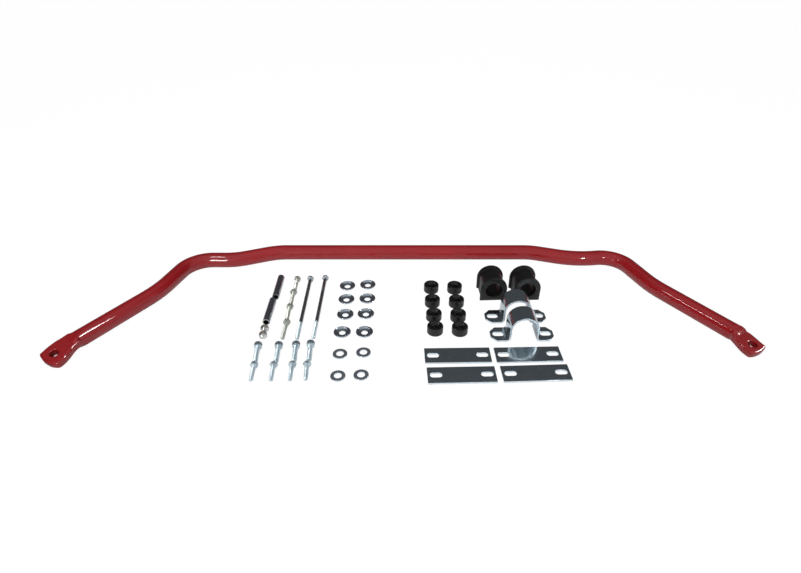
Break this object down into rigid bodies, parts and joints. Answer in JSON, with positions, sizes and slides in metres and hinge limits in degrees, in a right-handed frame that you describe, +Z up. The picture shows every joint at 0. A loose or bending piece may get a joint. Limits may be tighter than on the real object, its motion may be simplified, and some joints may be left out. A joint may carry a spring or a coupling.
{
  "type": "sway bar kit",
  "caption": "Round red anti-roll bar with bent arms and flat drilled eyes, laid out with its frame bushes, saddle clamps, slotted plates, end-link bolts, grommets and washers.",
  "frame": {"origin": "middle of the kit's bounding box, on the ground it lies on", "axes": "+X to the right along the bar, +Y from the bar's ends towards its middle, away from the viewer, +Z up"},
  "size_m": [1.1326, 0.369, 0.0474],
  "materials": {
    "red_paint": "gloss",
    "polyurethane": "satin",
    "zinc": "bright zinc plate",
    "yellow_zinc": "pale yellow zinc plate",
    "dark_zinc": "smooth zinc plate"
  },
  "bodies": {
    "plates": {"base_plate_1": "zinc", "base_plate_2": "zinc", "base_plate_3": "zinc", "base_plate_4": "zinc"},
    "bar": {"sway_bar": "red_paint"},
    "bush_left": {"frame_bush_left": "polyurethane"},
    "bush_right": {"frame_bush_right": "polyurethane"},
    "clamp_left": {"bush_clamp_left": "zinc"},
    "clamp_right": {"bush_clamp_right": "zinc"},
    "sleeve_left": {"spacer_sleeve_left": "dark_zinc"},
    "sleeve_right": {"spacer_sleeve_right": "dark_zinc"},
    "nuts": {"link_nut_left": "zinc", "link_nut_right": "zinc"},
    "bolt_left": {"link_bolt_left": "dark_zinc"},
    "bolt_right": {"link_bolt_right": "dark_zinc"},
    "cups_left": {"cup_washer_1": "zinc", "cup_washer_3": "zinc", "cup_washer_5": "zinc", "cup_washer_7": "zinc"},
    "cups_right": {"cup_washer_2": "zinc", "cup_washer_4": "zinc", "cup_washer_6": "zinc", "cup_washer_8": "zinc"},
    "grommets_left": {"link_grommet_1": "polyurethane", "link_grommet_2": "polyurethane", "link_grommet_3": "polyurethane", "link_grommet_4": "polyurethane"},
    "grommets_right": {"link_grommet_5": "polyurethane", "link_grommet_6": "polyurethane", "link_grommet_7": "polyurethane", "link_grommet_8": "polyurethane"},
    "washers": {"flat_washer_1": "zinc", "flat_washer_2": "zinc", "flat_washer_3": "zinc", "flat_washer_4": "zinc"},
    "hex_bolts": {"hex_bolt_1": "yellow_zinc", "hex_bolt_2": "yellow_zinc", "hex_bolt_3": "yellow_zinc", "hex_bolt_4": "yellow_zinc"},
    "cap_screws": {"cap_screw_1": "zinc", "cap_screw_2": "zinc", "cap_screw_3": "zinc", "cap_screw_4": "zinc"},
    "clamp_bolts": {"clamp_bolt_1": "zinc", "clamp_bolt_2": "zinc", "clamp_bolt_3": "zinc", "clamp_bolt_4": "zinc"}
  },
  "joints": [
    {"name": "bar_turn", "type": "hinge", "parent": "plates", "child": "bar", "pos_m": [0, 0.1704, 0.0143], "axis": [-1, 0, 0], "range_deg": [0, 25]},
    {"name": "bush_left_lift", "type": "slide", "parent": "plates", "child": "bush_left", "axis": [0, 0, 1], "range_m": [0, 0.08]},
    {"name": "bush_right_lift", "type": "slide", "parent": "plates", "child": "bush_right", "axis": [0, 0, 1], "range_m": [0, 0.08]},
    {"name": "clamp_left_lift", "type": "slide", "parent": "plates", "child": "clamp_left", "axis": [0, 0, 1], "range_m": [0, 0.08]},
    {"name": "clamp_right_lift", "type": "slide", "parent": "plates", "child": "clamp_right", "axis": [0, 0, 1], "range_m": [0, 0.08]},
    {"name": "sleeve_left_lift", "type": "slide", "parent": "plates", "child": "sleeve_left", "axis": [0, 0, 1], "range_m": [0, 0.08]},
    {"name": "sleeve_right_lift", "type": "slide", "parent": "plates", "child": "sleeve_right", "axis": [0, 0, 1], "range_m": [0, 0.08]},
    {"name": "nuts_lift", "type": "slide", "parent": "plates", "child": "nuts", "axis": [0, 0, 1], "range_m": [0, 0.08]},
    {"name": "bolt_left_lift", "type": "slide", "parent": "plates", "child": "bolt_left", "axis": [0, 0, 1], "range_m": [0, 0.08]},
    {"name": "bolt_right_lift", "type": "slide", "parent": "plates", "child": "bolt_right", "axis": [0, 0, 1], "range_m": [0, 0.08]},
    {"name": "cups_left_lift", "type": "slide", "parent": "plates", "child": "cups_left", "axis": [0, 0, 1], "range_m": [0, 0.08]},
    {"name": "cups_right_lift", "type": "slide", "parent": "plates", "child": "cups_right", "axis": [0, 0, 1], "range_m": [0, 0.08]},
    {"name": "grommets_left_lift", "type": "slide", "parent": "plates", "child": "grommets_left", "axis": [0, 0, 1], "range_m": [0, 0.08]},
    {"name": "grommets_right_lift", "type": "slide", "parent": "plates", "child": "grommets_right", "axis": [0, 0, 1], "range_m": [0, 0.08]},
    {"name": "washers_lift", "type": "slide", "parent": "plates", "child": "washers", "axis": [0, 0, 1], "range_m": [0, 0.08]},
    {"name": "hex_bolts_lift", "type": "slide", "parent": "plates", "child": "hex_bolts", "axis": [0, 0, 1], "range_m": [0, 0.08]},
    {"name": "cap_screws_lift", "type": "slide", "parent": "plates", "child": "cap_screws", "axis": [0, 0, 1], "range_m": [0, 0.08]},
    {"name": "clamp_bolts_lift", "type": "slide", "parent": "plates", "child": "clamp_bolts", "axis": [0, 0, 1], "range_m": [0, 0.08]}
  ]
}
